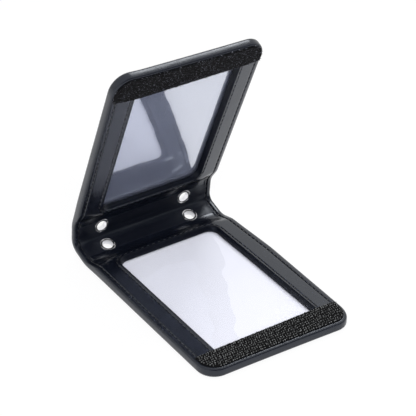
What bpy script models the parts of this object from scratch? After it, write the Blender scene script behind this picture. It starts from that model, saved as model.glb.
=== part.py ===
# Bifold leather badge holder, half open, with two window pockets, a touch-fastener
# strip on each leaf and four eyelets in the spine. Metres, +Z up. X runs across the
# leaves, the lower leaf lies flat along -Y from the spine and the upper leaf stands over it.
import math

import bmesh
import bpy
from mathutils import Matrix, Vector

# Leaves
leaf_width = 0.076
leaf_length = 0.1005
leaf_thickness = 0.005
corner_radius = 0.010
rest_opening = math.radians(66.0)

# Leather cover and its turned rim
cover_thickness = 0.0009
rim_width = 0.0017
rim_bottom_round = 0.0016
rim_top_round = 0.0007
ramp_length = 0.0042

# Facing leather, padding and stiffener inside a leaf
facing_thickness = 0.0009
board_thickness = 0.0005
board_fold_margin = 0.0040
pad_fold_margin = 0.0052
layer_gap = 0.00015
side_gap = 0.0003

# Window pockets
window_width = 0.0514
window_length = 0.0830
window_fold_margin = 0.0083
window_fold_radius = 0.0042
window_end_radius = 0.0015
film_thickness = 0.0003
film_overlap = 0.0028
card_width = 0.0540
card_length = 0.0856
card_thickness = 0.00025
card_radius = 0.0032

# Touch-fastener strips
strip_inset = 0.0012
hook_width = 0.0104
hook_thickness = 0.0011
loop_width = 0.0096
loop_thickness = 0.0015
closed_clearance = 0.0002

# Thread, laid in a groove
thread_radius = 0.00018
groove_width = 0.0007
groove_depth = 0.00052
edge_stitch_inset = 0.0027
window_stitch_inset = 0.0026

# Spine and its three hinge lines
lining_thickness = 0.00085
spine_side_inset = 0.0007
hinge_inset = 0.0025
hinge_arm = 0.0122
end_bend_radius = 0.0120
fold_radius = 0.0055
segment_gap = 0.0003

# Eyelets and their washers
eyelet_spacing = 0.0454
eyelet_from_leaf = 0.0076
eyelet_flange_radius = 0.0037
eyelet_bore_radius = 0.0026
eyelet_wall = 0.0004
eyelet_flange_height = 0.0006
eyelet_curl_radius = 0.0033
eyelet_curl_height = 0.0002
eyelet_round = 0.0002
washer_radius = 0.0039
washer_thickness = 0.00025
washer_round = 0.00015
eyelet_hole_gap = 0.0003
washer_gap = 0.0001

# How finely round shapes are divided
corner_steps = 10
window_steps = 6
round_steps = 4
bend_steps = 5
fold_steps = 8
eyelet_steps = 24
thread_sides = 6
sharp_angle = math.radians(40.0)
cut_overrun = 0.002

# Layers of a leaf, as heights over its outer face
board_bottom = cover_thickness + layer_gap
board_top = board_bottom + board_thickness
card_bottom = board_top + layer_gap
film_bottom = card_bottom + card_thickness + layer_gap
film_top = film_bottom + film_thickness
pad_bottom = film_top + layer_gap
facing_bottom = leaf_thickness - facing_thickness
pad_top = facing_bottom - layer_gap
spine_thickness = cover_thickness + layer_gap + lining_thickness
hinge_height = spine_thickness / 2

# How the three hinge lines share the bend, so that both strips meet when it is shut
closed_space = hook_thickness + loop_thickness + 2 * layer_gap + closed_clearance
closed_end_bend = math.asin((leaf_thickness - hinge_height + closed_space / 2) / hinge_arm)
closed_fold_bend = math.pi - 2 * closed_end_bend
end_to_fold_ratio = closed_end_bend / closed_fold_bend
rest_bend = math.pi - rest_opening
rest_fold_bend = rest_bend / (1 + 2 * end_to_fold_ratio)
rest_end_bend = rest_fold_bend * end_to_fold_ratio

# Hinge points of the lower half, measured from the leaf's spine edge
end_hinge = Vector((0, hinge_inset, hinge_height))
fold_hinge = end_hinge + hinge_arm * Vector((0, math.cos(rest_end_bend), math.sin(rest_end_bend)))
leaf_shift = Vector((0, leaf_length / 2, 0))
half_turn = math.pi

# Colour, roughness and metallic value of each material
finishes = {
    "leather": ((0.012, 0.013, 0.016, 1), 0.42, 0.0),
    "facing": ((0.015, 0.016, 0.020, 1), 0.48, 0.0),
    "board": ((0.030, 0.032, 0.040, 1), 0.60, 0.0),
    "pad": ((0.050, 0.050, 0.055, 1), 0.90, 0.0),
    "film": ((0.80, 0.82, 0.88, 1), 0.08, 0.0),
    "card": ((0.86, 0.87, 0.93, 1), 0.70, 0.0),
    "hook": ((0.020, 0.020, 0.020, 1), 0.60, 0.0),
    "loop": ((0.008, 0.008, 0.008, 1), 0.95, 0.0),
    "thread": ((0.004, 0.004, 0.005, 1), 0.80, 0.0),
    "nickel": ((0.80, 0.79, 0.76, 1), 0.22, 1.0),
}


def clear_scene():
    for thing in list(bpy.data.objects):
        bpy.data.objects.remove(thing, do_unlink=True)


def make_material(name):
    color, roughness, metallic = finishes[name]
    material = bpy.data.materials.new(name)
    material.use_nodes = True
    shader = material.node_tree.nodes["Principled BSDF"]
    shader.inputs["Base Color"].default_value = color
    shader.inputs["Roughness"].default_value = roughness
    shader.inputs["Metallic"].default_value = metallic
    return material


def make_empty(name, location, rotation=(0, 0, 0), parent=None):
    empty = bpy.data.objects.new(name, None)
    bpy.context.scene.collection.objects.link(empty)
    empty.parent = parent
    empty.location = location
    empty.rotation_euler = rotation
    return empty


def add_object(name, shape, place, material=None):
    """Turns a bmesh into an object under the empty and offset in place."""
    mesh = bpy.data.meshes.new(name)
    bmesh.ops.recalc_face_normals(shape, faces=shape.faces)
    shape.to_mesh(mesh)
    shape.free()
    mesh.shade_smooth()
    mesh.set_sharp_from_angle(angle=sharp_angle)
    thing = bpy.data.objects.new(name, mesh)
    bpy.context.scene.collection.objects.link(thing)
    parent, offset = place
    thing.parent = parent
    thing.location = -offset
    if material:
        mesh.materials.append(material)
    return thing


def cut(thing, cutter, operation="DIFFERENCE"):
    cutter.hide_render = True
    cutter.display_type = "WIRE"
    step = thing.modifiers.new(cutter.name, "BOOLEAN")
    step.operation = operation
    step.solver = "EXACT"
    step.object = cutter


def arc(center_x, center_y, radius, start, end, steps):
    turns = [start + (end - start) * k / steps for k in range(steps + 1)]
    return [(center_x + radius * math.cos(t), center_y + radius * math.sin(t)) for t in turns]


def rounded_outline(half_width, near, far, near_radius, far_radius, steps):
    """A closed outline from y = -near to y = -far, counter-clockwise; a radius of 0 is a corner."""
    corners = [
        (half_width, -near, near_radius, 0),
        (-half_width, -near, near_radius, 1),
        (-half_width, -far, far_radius, 2),
        (half_width, -far, far_radius, 3),
    ]
    points = []
    for x, y, radius, quarter in corners:
        if radius == 0:
            points.append((x, y))
            continue
        center_x = x - math.copysign(radius, x)
        center_y = y - radius if quarter < 2 else y + radius
        start = quarter * math.pi / 2
        points += arc(center_x, center_y, radius, start, start + math.pi / 2, steps)
    return points


def slab(outline, bottom, top):
    shape = bmesh.new()
    face = shape.faces.new([shape.verts.new((x, y, bottom)) for x, y in outline])
    raised = bmesh.ops.extrude_face_region(shape, geom=[face])
    moved = [v for v in raised["geom"] if isinstance(v, bmesh.types.BMVert)]
    bmesh.ops.translate(shape, verts=moved, vec=(0, 0, top - bottom))
    bmesh.ops.recalc_face_normals(shape, faces=shape.faces)
    return shape


def side_extrusion(profile, half_width):
    """A side profile of (y, z) points, carried across the width."""
    shape = bmesh.new()
    face = shape.faces.new([shape.verts.new((-half_width, y, z)) for y, z in profile])
    raised = bmesh.ops.extrude_face_region(shape, geom=[face])
    moved = [v for v in raised["geom"] if isinstance(v, bmesh.types.BMVert)]
    bmesh.ops.translate(shape, verts=moved, vec=(2 * half_width, 0, 0))
    bmesh.ops.recalc_face_normals(shape, faces=shape.faces)
    return shape


def bevel_edges(shape, chosen, width):
    edges = [e for e in shape.edges if chosen(e)]
    bmesh.ops.bevel(
        shape, geom=edges, offset=width, segments=round_steps, profile=0.5, affect="EDGES"
    )


def swept(path, section, closed):
    """A section of (across, up) points carried along a level path of (x, y) points."""
    shape = bmesh.new()
    count = len(path)
    rings = []
    for k, (x, y) in enumerate(path):
        before = Vector(path[k - 1] if closed or k else path[0])
        after = Vector(path[(k + 1) % count] if closed or k < count - 1 else path[-1])
        along = (after - before).normalized()
        rings.append([shape.verts.new((x + a * along.y, y - a * along.x, z)) for a, z in section])
    spans = count if closed else count - 1
    size = len(section)
    for k in range(spans):
        here, there = rings[k], rings[(k + 1) % count]
        for j in range(size):
            shape.faces.new((here[j], here[(j + 1) % size], there[(j + 1) % size], there[j]))
    if not closed:
        shape.faces.new(rings[0])
        shape.faces.new(list(reversed(rings[-1])))
    bmesh.ops.recalc_face_normals(shape, faces=shape.faces)
    return shape


def turned(profile, steps):
    """A closed profile of (radius, height) points turned round the Z axis into a ring."""
    shape = bmesh.new()
    rings = []
    for k in range(steps):
        turn = 2 * math.pi * k / steps
        rings.append(
            [shape.verts.new((r * math.cos(turn), r * math.sin(turn), z)) for r, z in profile]
        )
    size = len(profile)
    for k in range(steps):
        here, there = rings[k], rings[(k + 1) % steps]
        for j in range(size):
            shape.faces.new((here[j], here[(j + 1) % size], there[(j + 1) % size], there[j]))
    bmesh.ops.recalc_face_normals(shape, faces=shape.faces)
    return shape


def leaf_outline(inset, near):
    return rounded_outline(
        leaf_width / 2 - inset, near, leaf_length - inset, 0, corner_radius - inset, corner_steps
    )


def window_outline(grow):
    """The window opening, or the same outline a little larger all round."""
    return rounded_outline(
        window_width / 2 + grow,
        window_fold_margin - grow,
        window_fold_margin + window_length + grow,
        window_fold_radius + grow,
        window_end_radius + grow,
        window_steps,
    )


def ramp(height, foot):
    """The slope at a leaf's spine edge, from height down to foot, as (y, z) points."""
    end = segment_gap / 2
    points = []
    for k in range(bend_steps + 1):
        share = k / bend_steps
        fall = (1 - math.cos(math.pi * share)) / 2
        points.append((-end - ramp_length * (1 - share), height + (foot - height) * fall))
    return points


def cover_leaf(side, place, leather):
    """The outer leather of a leaf: a tray with a turned rim, open at the spine."""
    shape = slab(leaf_outline(0, segment_gap / 2), 0, leaf_thickness)
    edge_y = -segment_gap / 2

    def on_outline(edge, height):
        level = all(abs(v.co.z - height) < layer_gap for v in edge.verts)
        return level and not all(abs(v.co.y - edge_y) < layer_gap for v in edge.verts)

    bevel_edges(shape, lambda e: on_outline(e, 0), rim_bottom_round)
    bevel_edges(shape, lambda e: on_outline(e, leaf_thickness), rim_top_round)
    cover = add_object("cover_" + side, shape, place, leather)
    pocket = slab(
        leaf_outline(rim_width, -cut_overrun), cover_thickness, leaf_thickness + cut_overrun
    )
    cut(cover, add_object("cut_pocket_" + side, pocket, place))
    top = leaf_thickness + cut_overrun
    slope = ramp(leaf_thickness, spine_thickness)
    above = [(cut_overrun, spine_thickness), (cut_overrun, top), (slope[0][0], top)]
    cut(cover, add_object("cut_slope_" + side, side_extrusion(slope + above, leaf_width), place))


def facing_leaf(side, place, leather):
    """The inner leather of a leaf, sloping down to the spine, its window edge turned in."""
    upper = ramp(leaf_thickness, spine_thickness)
    lower = ramp(facing_bottom, spine_thickness - lining_thickness)
    profile = [(-leaf_length, leaf_thickness)] + upper
    profile += list(reversed(lower)) + [(-leaf_length, facing_bottom)]
    facing = add_object("facing_" + side, side_extrusion(profile, leaf_width), place, leather)
    inset = rim_width + side_gap
    keep = slab(leaf_outline(inset, -cut_overrun), -cut_overrun, leaf_thickness + cut_overrun)
    cut(facing, add_object("keep_facing_" + side, keep, place), "INTERSECT")
    lip_top = leaf_thickness - facing_thickness / 2
    lip = slab(window_outline(facing_thickness), pad_bottom, lip_top)
    cut(facing, add_object("join_lip_" + side, lip, place), "UNION")
    opening = slab(window_outline(0), 0, leaf_thickness + cut_overrun)
    cut(facing, add_object("cut_window_" + side, opening, place))
    groove = [
        (-groove_width / 2, leaf_thickness - groove_depth),
        (groove_width / 2, leaf_thickness - groove_depth),
        (groove_width / 2, leaf_thickness + cut_overrun),
        (-groove_width / 2, leaf_thickness + cut_overrun),
    ]
    window_groove = swept(window_outline(window_stitch_inset), groove, True)
    cut(facing, add_object("cut_window_groove_" + side, window_groove, place))
    edge_groove = swept(edge_stitch_path(side_gap), groove, False)
    cut(facing, add_object("cut_edge_groove_" + side, edge_groove, place))


def edge_stitch_path(extra):
    """The seam beside the rim, from the slope round the free end and back, as (x, y) points."""
    start = segment_gap / 2 + ramp_length + layer_gap
    outline = leaf_outline(edge_stitch_inset, start - extra)
    return outline[1:] + outline[:1]


def thread_section():
    height = leaf_thickness - groove_depth + layer_gap + thread_radius
    turns = [2 * math.pi * k / thread_sides for k in range(thread_sides)]
    return [(thread_radius * math.cos(t), height + thread_radius * math.sin(t)) for t in turns]


def threads(side, place, material):
    window = swept(window_outline(window_stitch_inset), thread_section(), True)
    add_object("thread_window_" + side, window, place, material)
    edge = swept(edge_stitch_path(0), thread_section(), False)
    add_object("thread_edge_" + side, edge, place, material)


def pad_leaf(side, place, material):
    """The padding that lifts the facing round its window."""
    outline = leaf_outline(rim_width + side_gap, pad_fold_margin)
    pad = add_object("pad_" + side, slab(outline, pad_bottom, pad_top), place, material)
    hole = slab(window_outline(facing_thickness + side_gap), 0, leaf_thickness)
    cut(pad, add_object("cut_pad_" + side, hole, place))


def flat_layers(side, place, board_material, film_material):
    board = slab(
        leaf_outline(rim_width + side_gap, board_fold_margin), board_bottom, board_top
    )
    add_object("board_" + side, board, place, board_material)
    film = slab(window_outline(film_overlap), film_bottom, film_top)
    add_object("film_" + side, film, place, film_material)


def paper_insert(place, material):
    middle = window_fold_margin + window_length / 2
    outline = rounded_outline(
        card_width / 2,
        middle - card_length / 2,
        middle + card_length / 2,
        card_radius,
        card_radius,
        window_steps,
    )
    shape = slab(outline, card_bottom, card_bottom + card_thickness)
    add_object("paper_insert", shape, place, material)


def strip(name, width, thickness, place, material):
    """A touch-fastener strip across the free end, cut to the leaf's rounded corners."""
    outline = leaf_outline(strip_inset, leaf_length - strip_inset - width)
    bottom = leaf_thickness + layer_gap
    add_object(name, slab(outline, bottom, bottom + thickness), place, material)


def bend_point(center, radius, turn):
    return (center.y + radius * math.sin(turn), center.z - radius * math.cos(turn))


def spine_line(height):
    """The half spine at rest at a height over its outer face, from leaf to fold, as (y, z)."""
    end_center = end_hinge + Vector(
        (0, -end_bend_radius * math.tan(rest_end_bend / 2), end_bend_radius)
    )
    inward = Vector((0, -math.cos(rest_opening / 2), math.sin(rest_opening / 2)))
    fold_center = fold_hinge + inward * (fold_radius / math.cos(rest_fold_bend / 2))
    raise_by = height - hinge_height
    points = [(segment_gap / 2, height)]
    for k in range(bend_steps + 1):
        turn = rest_end_bend * k / bend_steps
        points.append(bend_point(end_center, end_bend_radius - raise_by, turn))
    last = rest_bend / 2 - segment_gap / 2 / fold_radius
    for k in range(fold_steps + 1):
        turn = rest_end_bend + (last - rest_end_bend) * k / fold_steps
        points.append(bend_point(fold_center, fold_radius - raise_by, turn))
    return points


def eyelet_center(x):
    """Where an eyelet's axis meets the middle of the half spine."""
    along = eyelet_from_leaf - hinge_inset
    rise = Vector((0, math.cos(rest_end_bend), math.sin(rest_end_bend)))
    return end_hinge + along * rise + Vector((x, 0, 0))


def eyelet_places(side):
    """Each eyelet's hand and x. The upper half is turned about, so its x runs the other way."""
    right = eyelet_spacing / 2 if side == "lower" else -eyelet_spacing / 2
    return (("left", -right), ("right", right))


def on_spine(shape, x):
    """Moves a shape made round Z onto the half spine's tilt at an eyelet."""
    tilt = Matrix.Rotation(rest_end_bend, 4, "X")
    shape.transform(Matrix.Translation(eyelet_center(x)) @ tilt)
    return shape


def spine_layer(name, bottom, top, side, place, leather):
    profile = spine_line(bottom) + list(reversed(spine_line(top)))
    shape = side_extrusion(profile, leaf_width / 2 - spine_side_inset)
    layer = add_object(name, shape, place, leather)
    radius = eyelet_bore_radius + eyelet_wall + eyelet_hole_gap
    for hand, x in eyelet_places(side):
        reach = spine_thickness + cut_overrun
        hole = slab(arc(0, 0, radius, 0, 2 * math.pi, eyelet_steps)[:-1], -reach, reach)
        cut(layer, add_object("cut_" + name + "_" + hand, on_spine(hole, x), place))


def eyelet(name, x, place, metal):
    """A flanged tube through the spine, its far end curled out over the washer."""
    bore = eyelet_bore_radius
    tube = bore + eyelet_wall
    seat = hinge_height + side_gap
    head = seat + eyelet_flange_height
    back = -hinge_height - washer_gap - washer_thickness - washer_gap
    tail = back - eyelet_curl_height
    edge = eyelet_round
    profile = [
        (bore, tail + edge),
        (bore + edge, tail),
        (eyelet_curl_radius - edge, tail),
        (eyelet_curl_radius, back),
        (tube, back),
        (tube, seat),
        (eyelet_flange_radius, seat),
        (eyelet_flange_radius, seat + edge),
        (eyelet_flange_radius - edge, head - edge),
        (eyelet_flange_radius - 2 * edge, head),
        (bore + 2 * edge, head),
        (bore + edge, head - edge / 2),
        (bore, head - 2 * edge),
    ]
    add_object(name, on_spine(turned(profile, eyelet_steps), x), place, metal)


def washer(name, x, place, metal):
    """The ring behind an eyelet, on the outside of the spine."""
    inner = eyelet_bore_radius + eyelet_wall + layer_gap
    top = -hinge_height - washer_gap
    bottom = top - washer_thickness
    profile = [
        (inner, bottom),
        (washer_radius - washer_round, bottom),
        (washer_radius, bottom + washer_round),
        (washer_radius, top),
        (inner, top),
    ]
    add_object(name, on_spine(turned(profile, eyelet_steps), x), place, metal)


def leaf(side, place, stuff):
    cover_leaf(side, place, stuff["leather"])
    flat_layers(side, place, stuff["board"], stuff["film"])
    pad_leaf(side, place, stuff["pad"])
    facing_leaf(side, place, stuff["facing"])
    threads(side, place, stuff["thread"])


def half_spine(side, place, stuff):
    spine_layer("cover_spine_" + side, 0, cover_thickness, side, place, stuff["leather"])
    lining_bottom = cover_thickness + layer_gap
    spine_layer("lining_spine_" + side, lining_bottom, spine_thickness, side, place, stuff["facing"])
    for hand, x in eyelet_places(side):
        eyelet("eyelet_" + side + "_" + hand, x, place, stuff["nickel"])
        washer("washer_" + side + "_" + hand, x, place, stuff["nickel"])


def main():
    clear_scene()
    stuff = {name: make_material(name) for name in finishes}
    root = make_empty("holder", leaf_shift)
    end_lower = make_empty("hinge_lower", end_hinge, parent=root)
    turn = (-rest_bend, 0, half_turn)
    fold = make_empty("hinge_fold", fold_hinge - end_hinge, turn, end_lower)
    end_upper = make_empty("hinge_upper", end_hinge - fold_hinge, parent=fold)

    on_leaf = (root, Vector())
    leaf("lower", on_leaf, stuff)
    paper_insert(on_leaf, stuff["card"])
    strip("hook_strip", hook_width, hook_thickness, on_leaf, stuff["hook"])
    half_spine("lower", (end_lower, end_hinge), stuff)
    half_spine("upper", (fold, fold_hinge), stuff)
    on_upper = (end_upper, end_hinge)
    leaf("upper", on_upper, stuff)
    strip("loop_strip", loop_width, loop_thickness, on_upper, stuff["loop"])


main()
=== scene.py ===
import math
import random

import bmesh
import bpy
from mathutils import Matrix, Vector, noise


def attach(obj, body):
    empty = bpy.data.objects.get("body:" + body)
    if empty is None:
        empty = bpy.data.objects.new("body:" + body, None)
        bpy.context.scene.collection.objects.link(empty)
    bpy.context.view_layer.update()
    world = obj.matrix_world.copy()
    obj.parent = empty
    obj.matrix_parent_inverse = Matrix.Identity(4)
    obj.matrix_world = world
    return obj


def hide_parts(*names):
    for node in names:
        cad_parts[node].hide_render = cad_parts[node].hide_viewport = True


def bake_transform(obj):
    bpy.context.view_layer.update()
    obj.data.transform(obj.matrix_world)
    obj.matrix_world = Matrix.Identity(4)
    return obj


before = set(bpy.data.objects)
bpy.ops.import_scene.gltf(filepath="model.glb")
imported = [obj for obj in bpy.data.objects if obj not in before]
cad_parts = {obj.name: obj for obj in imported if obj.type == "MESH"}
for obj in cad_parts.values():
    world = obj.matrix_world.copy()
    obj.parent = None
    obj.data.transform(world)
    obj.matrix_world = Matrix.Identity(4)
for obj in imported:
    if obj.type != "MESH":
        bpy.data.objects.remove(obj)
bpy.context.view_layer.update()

print("badge holder: frame loaded with", len(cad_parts), "nodes")

# how the leather runs from the lower leaf over the spine to the upper leaf
foldPath = {
    "leafLength": 0.1005, "hingeInset": 0.0025, "arm": 0.0122, "endRadius": 0.012, "foldRadius": 0.0055,
    "endBend": 17.305, "foldBend": 79.39, "midHeight": 0.00095, "frontEdge": -0.05025,
    "eyeletSide": 0.0227, "eyeletBack": 0.0051, "eyeletHole": 0.00306,
    "skew": 0.0025, "skewFrom": 0.0895, "skewRun": 0.0110, "leastSkew": 0.15, "skewPower": 1.4,
}

endTurn = math.radians(foldPath["endBend"])
foldTurn = math.radians(foldPath["foldBend"])
endTangent = foldPath["endRadius"] * math.tan(endTurn / 2)
foldTangent = foldPath["foldRadius"] * math.tan(foldTurn / 2)
armRun = foldPath["arm"] - endTangent - foldTangent
flatRun = foldPath["hingeInset"] - endTangent
endArc = foldPath["endRadius"] * endTurn
foldArc = foldPath["foldRadius"] * foldTurn
spineHalf = flatRun + endArc + armRun + foldArc / 2
blankHalf = spineHalf + foldPath["leafLength"]
leafRun = (foldPath["leafLength"] + flatRun, 0.0)
pathRuns = [leafRun, (endArc, endTurn), (armRun, 0.0), (foldArc, foldTurn), (armRun, 0.0), (endArc, endTurn),
            leafRun]
armStart = foldArc / 2  # distances from the middle of the fold
armEnd = armStart + armRun
cutLine = armEnd - 0.00004
eyeletLine = armEnd + endTangent - foldPath["eyeletBack"]
eyeletSpots = [(side, half) for side in (-1, 1) for half in (-1, 1)]


def smooth(value):
    value = min(max(value, 0.0), 1.0)
    return value * value * (3 - 2 * value)


def pathFrame(run):
    # the place and the direction at a distance from the middle of the fold
    left = run + blankHalf
    y = foldPath["frontEdge"]
    z = foldPath["midHeight"]
    angle = 0.0
    for index, (length, turn) in enumerate(pathRuns):
        part = left if index == len(pathRuns) - 1 else min(left, length)
        if turn:
            radius = length / turn
            step = part / radius
            y += radius * (math.sin(angle + step) - math.sin(angle))
            z += radius * (math.cos(angle) - math.cos(angle + step))
            angle += step
        else:
            y += part * math.cos(angle)
            z += part * math.sin(angle)
        left -= part
        if left <= 0:
            break
    return y, z, angle


def skewed(x, run):
    # each leaf's end is cut a little askew, longer at one corner
    side = max((x if run < 0 else -x) / outerSkin["width"] + 0.5, 0.0) ** foldPath["skewPower"]
    far = smooth((abs(run) - spineHalf - foldPath["skewFrom"]) / foldPath["skewRun"])
    least = foldPath["leastSkew"]
    return run + math.copysign(foldPath["skew"] * (least + (1 - least) * side) * far, run)


def foldFrame(x, run, height, half=-1):
    # a flat blank's x, run and height become a place on the folded holder, and a turn
    if half > 0:
        x, run = -x, -run  # laid out on the lower leaf, it goes to the upper one turned half round
    y, z, angle = pathFrame(skewed(x, run))
    lift = height - foldPath["midHeight"]
    return Vector((x, y - lift * math.sin(angle), z + lift * math.cos(angle))), angle


def foldPoint(point, half=-1):
    return foldFrame(*point, half)[0]


def deselect():
    if bpy.context.object and bpy.context.object.mode != "OBJECT":
        leave()
    bpy.ops.object.select_all(action="DESELECT")


def workOn(piece):
    deselect()
    piece.select_set(True)
    bpy.context.view_layer.objects.active = piece


def edit(piece):
    workOn(piece)
    bpy.ops.object.mode_set(mode="EDIT")
    bpy.ops.mesh.select_mode(type="VERT")


def leave():
    bpy.ops.object.mode_set(mode="OBJECT")


def takeAll():
    bpy.ops.mesh.select_all(action="SELECT")


def pick(kind, test):
    # select what passes the test, and nothing else
    bpy.ops.mesh.select_mode(type=kind)
    bpy.ops.mesh.select_all(action="DESELECT")
    mesh = bpy.context.edit_object.data
    shape = bmesh.from_edit_mesh(mesh)
    for item in {"FACE": shape.faces, "EDGE": shape.edges, "VERT": shape.verts}[kind]:
        if test(item):
            item.select_set(True)
    shape.select_flush_mode()
    bmesh.update_edit_mesh(mesh)


def atHeight(item, height):
    return all(abs(vertex.co.z - height) < 1e-6 for vertex in item.verts)


def addOutline(width, low, high, height, lowCorner, highCorner, segments):
    # a rounded rectangle in the mesh that is being edited, left selected as one face
    middle = (low + high) / 2
    bpy.ops.mesh.select_mode(type="VERT")
    bpy.ops.mesh.select_all(action="DESELECT")
    bpy.ops.mesh.primitive_plane_add(size=1, location=(0, middle, height))
    bpy.ops.transform.resize(value=(width, high - low, 1), center_override=(0, middle, height))
    for place, radius in ((low, lowCorner), (high, highCorner)):
        if radius:
            pick("VERT", lambda vertex: abs(vertex.co.y - place) < 1e-6 and abs(vertex.co.z - height) < 1e-6
                 and abs(abs(vertex.co.x) - width / 2) < 1e-6)
            bpy.ops.mesh.bevel(offset=radius, offset_type="OFFSET", segments=segments, affect="VERTICES")
    pick("FACE", lambda face: atHeight(face, height) and face.calc_area() > 0.7 * width * (high - low)
         and abs(face.calc_center_median().y - middle) < (high - low) / 3)


def stepIn(rings):
    # insets of the selected face: how far in and how far along its normal, in micrometres
    for inward, along in rings:
        bpy.ops.mesh.inset(thickness=inward / 1e6, depth=along / 1e6, use_even_offset=True, use_boundary=True)


def raiseBy(height):
    bpy.ops.mesh.extrude_region_move(TRANSFORM_OT_translate={"value": (0, 0, height)})


def faceOut():
    takeAll()
    bpy.ops.mesh.normals_make_consistent(inside=False)


def cutAcross(places, along="y", clearLow=False, clearHigh=False):
    for place in places:
        takeAll()
        spot, facing = ((0, place, 0), (0, 1, 0)) if along == "y" else ((place, 0, 0), (1, 0, 0))
        bpy.ops.mesh.bisect(plane_co=spot, plane_no=facing, clear_inner=clearLow, clear_outer=clearHigh)


def steps(low, high, count):
    return [low + (high - low) * index / count for index in range(count + 1)]


def added(item):
    bpy.context.scene.collection.objects.link(item)
    return item


def newPiece(name):
    deselect()
    return added(bpy.data.objects.new(name, bpy.data.meshes.new(name)))


def copyPiece(source, name):
    piece = source.copy()
    piece.data = source.data.copy()
    piece.name = name
    piece.data.name = name
    return added(piece)


def discard(*pieces):
    for piece in pieces:
        bpy.data.objects.remove(piece)


def clad(piece, *materials):
    piece.data.materials.clear()
    for material in materials:
        piece.data.materials.append(material)


def applyModifier(piece, kind, **values):
    workOn(piece)
    modifier = piece.modifiers.new(kind.title(), kind)
    for key, value in values.items():
        setattr(modifier, key, value)
    bpy.ops.object.modifier_apply(modifier=modifier.name)


def cutOut(piece, tool):
    applyModifier(piece, "BOOLEAN", object=tool, operation="DIFFERENCE", solver="EXACT")
    discard(tool)


def smoothShade(degrees, *pieces):
    for piece in pieces:
        workOn(piece)
        bpy.ops.object.shade_smooth_by_angle(angle=math.radians(degrees))
        deselect()


def copiesOf(template, name, placings):
    # one mesh of many copies of a small template, each placed by its own matrix
    corners = [vertex.co.copy() for vertex in template.data.vertices]
    faces = [tuple(face.vertices) for face in template.data.polygons]
    points, polygons = [], []
    for placing in placings:
        first = len(points)
        points.extend(placing @ corner for corner in corners)
        polygons.extend(tuple(first + index for index in face) for face in faces)
    mesh = bpy.data.meshes.new(name)
    mesh.from_pydata(points, [], polygons)
    return added(bpy.data.objects.new(name, mesh))


def newMaterial(name):
    material = bpy.data.materials.new(name)
    material.use_nodes = True
    material.node_tree.nodes.clear()
    return material


def node(tree, kind, **values):
    # a node beside the ones before it, with its settings and input values by name
    made = tree.nodes.new("ShaderNode" + kind)
    made.location = (200 * len(tree.nodes), 0)
    for key, value in values.items():
        if hasattr(made, key):
            setattr(made, key, value)
        else:
            made.inputs[key.replace("_", " ")].default_value = value
    return made


def connect(tree, *wires):
    # each wire is a node and its output, then a node and its input
    for source, given, target, taken in wires:
        tree.links.new(source.outputs[given], target.inputs[taken])


def mapped(tree, source, given, target, taken, start=(0.0, 1.0), end=(0.0, 1.0), **settings):
    # a value carried from one range to another on its way
    span = node(tree, "MapRange", From_Min=start[0], From_Max=start[1], To_Min=end[0], To_Max=end[1],
                **settings)
    connect(tree, (source, given, span, "Value"), (span, "Result", target, taken))


def coloured(tree, look, source, given, target):
    # the look's dark and light, mixed by a pattern
    colour = node(tree, "Mix", data_type="RGBA")
    colour.inputs[6].default_value = fromSrgb(*look["dark"])
    colour.inputs[7].default_value = fromSrgb(*look["light"])
    connect(tree, (colour, 2, target, "Base Color"))
    if "spread" in look:
        mapped(tree, source, given, colour, 0, look["spread"])
    else:
        connect(tree, (source, given, colour, 0))


def bumped(tree, strength, distance, source, given, target):
    bump = node(tree, "Bump", Strength=strength, Distance=distance)
    connect(tree, (source, given, bump, "Height"), (bump, "Normal", target, "Normal"))
    return bump


def newSurface(name, **values):
    # a material whose output shows one Principled body
    material = newMaterial(name)
    tree = material.node_tree
    body = node(tree, "BsdfPrincipled", **values)
    connect(tree, (body, "BSDF", node(tree, "OutputMaterial"), "Surface"))
    return material, tree, body, node(tree, "TexCoord")


def fromSrgb(red, green, blue):
    def linear(value):
        value /= 255
        return value / 12.92 if value <= 0.04045 else ((value + 0.055) / 1.055) ** 2.4
    return (linear(red), linear(green), linear(blue), 1.0)


def makeGrainGroup():
    # pebbled skin: small cells with creases between them, and slow unevenness
    group = bpy.data.node_groups.new("grain", "ShaderNodeTree")
    for label, way, kind, value in (("Vector", "INPUT", "Vector", None), ("Cells", "INPUT", "Float", 2200.0),
                                    ("Unevenness", "INPUT", "Float", 90.0), ("Blend", "INPUT", "Float", 0.35),
                                    ("Height", "OUTPUT", "Float", None), ("Mask", "OUTPUT", "Float", None)):
        socket = group.interface.new_socket(name=label, in_out=way, socket_type="NodeSocket" + kind)
        if value is not None:
            socket.default_value = value
    given, result = group.nodes.new("NodeGroupInput"), group.nodes.new("NodeGroupOutput")
    cells = node(group, "TexVoronoi", feature="DISTANCE_TO_EDGE")
    fine = node(group, "TexNoise", Detail=3.0, Roughness=0.6)
    slow = node(group, "TexNoise", Detail=4.0, Roughness=0.55)
    mixed = node(group, "Mix", data_type="FLOAT")
    for pattern, size in ((cells, "Cells"), (fine, "Cells"), (slow, "Unevenness")):
        connect(group, (given, "Vector", pattern, "Vector"), (given, size, pattern, "Scale"))
    mapped(group, cells, "Distance", mixed, 3, (0.0, 0.35))
    connect(group, (given, "Blend", mixed, 0), (fine, "Fac", mixed, 2), (mixed, 0, result, "Height"),
            (slow, "Fac", result, "Mask"))
    return group


grainGroup = makeGrainGroup()

# how deep the bumps of each kind go, in metres
relief = {"pebbles": 0.00006, "swells": 0.0006, "fibres": 0.00005, "pile": 0.0001, "ripples": 0.0004}


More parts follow.
